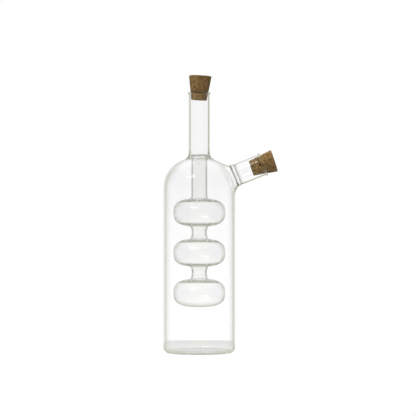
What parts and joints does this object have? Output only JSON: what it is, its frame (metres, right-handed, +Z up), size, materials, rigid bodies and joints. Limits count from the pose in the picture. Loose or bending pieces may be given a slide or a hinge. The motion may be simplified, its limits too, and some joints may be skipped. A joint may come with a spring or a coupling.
{
  "type": "oil and vinegar cruet",
  "caption": "Clear glass cruet for oil and vinegar: a bulbed flask hangs inside a round-shouldered bottle, with a tall neck, an angled spout and a tapered cork in each mouth.",
  "frame": {"origin": "centre of the flat base, on the bottle's axis and on the surface it stands on", "axes": "+Z up along the bottle's axis, +X towards the spout, +Y away from a viewer who has the spout on the right"},
  "size_m": [0.1035, 0.065, 0.2513],
  "materials": {
    "glass": "clear, fire-polished, faintly olive where it is seen edge on",
    "cork": "matt brown cork with dark pits and pale grains"
  },
  "bodies": {
    "vessel": {"outer_body": "glass", "neck_seal_ring": "glass", "neck_tube": "glass", "inner_stem": "glass", "upper_bulb": "glass", "upper_link": "glass", "middle_bulb": "glass", "lower_link": "glass", "lower_bulb": "glass", "spout_collar": "glass", "spout_tube": "glass"},
    "neck_stopper": {"neck_cork": "cork"},
    "spout_stopper": {"spout_cork": "cork"}
  },
  "joints": [
    {"name": "neck_cork_pull", "type": "slide", "parent": "vessel", "child": "neck_stopper", "axis": [0.0523, 0, 0.9986], "range_m": [0, 0.04]},
    {"name": "spout_cork_pull", "type": "slide", "parent": "vessel", "child": "spout_stopper", "axis": [0.9489, 0, 0.3156], "range_m": [0, 0.04]}
  ]
}
